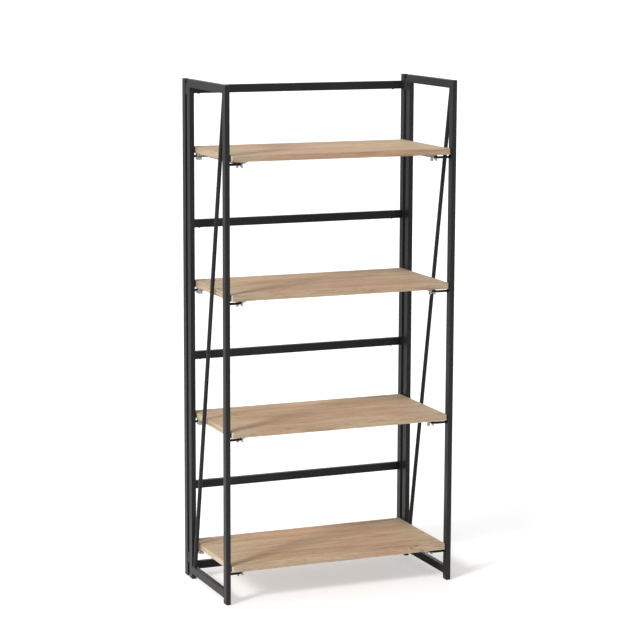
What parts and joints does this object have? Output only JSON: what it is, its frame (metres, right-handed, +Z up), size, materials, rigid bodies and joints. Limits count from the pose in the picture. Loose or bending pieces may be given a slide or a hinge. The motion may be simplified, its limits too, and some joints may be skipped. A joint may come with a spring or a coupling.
{
  "type": "folding bookcase",
  "caption": "Tall open bookcase on a folding frame of black steel tube, with wood-look boards that are clipped on wires and tip up, crossbars at the back and slanting side braces.",
  "frame": {"origin": "on the floor, under the middle of the open bookcase", "axes": "+X to the right of someone who faces it, +Y to its back, +Z up"},
  "size_m": [0.6, 0.3, 1.25],
  "materials": {
    "black_powder_coat": "satin",
    "black_wire": "satin",
    "hinge_steel": "satin",
    "hinge_pin_steel": "satin",
    "foot_plastic": "matte",
    "cap_plastic": "matte",
    "bumper_rubber": "matte",
    "oak_laminate": "matte",
    "oak_edge_band": "matte",
    "clear_clip_plastic": "gloss"
  },
  "bodies": {
    "frames": {"rear_post_left": "black_powder_coat", "rear_post_right": "black_powder_coat", "crossbar_1": "black_powder_coat", "crossbar_2": "black_powder_coat", "crossbar_3": "black_powder_coat", "crossbar_4": "black_powder_coat", "crossbar_5": "black_powder_coat", "crossbar_bumpers": "bumper_rubber", "rear_post_caps": "cap_plastic", "rear_feet": "foot_plastic", "left_front_post": "black_powder_coat", "left_back_post": "black_powder_coat", "left_top_rail": "black_powder_coat", "left_bottom_rail": "black_powder_coat", "left_brace": "black_powder_coat", "left_feet": "foot_plastic", "left_hinge_rear_barrels": "hinge_steel", "left_hinge_frame_barrels": "hinge_steel", "left_hinge_pins": "hinge_pin_steel", "left_wire_support_1": "black_wire", "left_wire_support_2": "black_wire", "left_wire_support_3": "black_wire", "left_wire_support_4": "black_wire", "right_front_post": "black_powder_coat", "right_back_post": "black_powder_coat", "right_top_rail": "black_powder_coat", "right_bottom_rail": "black_powder_coat", "right_brace": "black_powder_coat", "right_feet": "foot_plastic", "right_hinge_rear_barrels": "hinge_steel", "right_hinge_frame_barrels": "hinge_steel", "right_hinge_pins": "hinge_pin_steel", "right_wire_support_1": "black_wire", "right_wire_support_2": "black_wire", "right_wire_support_3": "black_wire", "right_wire_support_4": "black_wire"},
    "shelf_1": {"shelf_1_board": "oak_laminate", "shelf_1_edge_band": "oak_edge_band", "shelf_1_front_clips": "clear_clip_plastic", "shelf_1_rear_clips": "clear_clip_plastic"},
    "shelf_2": {"shelf_2_board": "oak_laminate", "shelf_2_edge_band": "oak_edge_band", "shelf_2_front_clips": "clear_clip_plastic", "shelf_2_rear_clips": "clear_clip_plastic"},
    "shelf_3": {"shelf_3_board": "oak_laminate", "shelf_3_edge_band": "oak_edge_band", "shelf_3_front_clips": "clear_clip_plastic", "shelf_3_rear_clips": "clear_clip_plastic"},
    "shelf_4": {"shelf_4_board": "oak_laminate", "shelf_4_edge_band": "oak_edge_band", "shelf_4_front_clips": "clear_clip_plastic", "shelf_4_rear_clips": "clear_clip_plastic"}
  },
  "joints": [
    {"name": "shelf_1_flip", "type": "hinge", "parent": "frames", "child": "shelf_1", "pos_m": [0, 0.101, 0.073], "axis": [-1, 0, 0], "range_deg": [0, 93]},
    {"name": "shelf_2_flip", "type": "hinge", "parent": "frames", "child": "shelf_2", "pos_m": [0, 0.101, 0.403], "axis": [-1, 0, 0], "range_deg": [0, 93]},
    {"name": "shelf_3_flip", "type": "hinge", "parent": "frames", "child": "shelf_3", "pos_m": [0, 0.101, 0.733], "axis": [-1, 0, 0], "range_deg": [0, 93]},
    {"name": "shelf_4_flip", "type": "hinge", "parent": "frames", "child": "shelf_4", "pos_m": [0, 0.101, 1.063], "axis": [-1, 0, 0], "range_deg": [0, 93]}
  ]
}
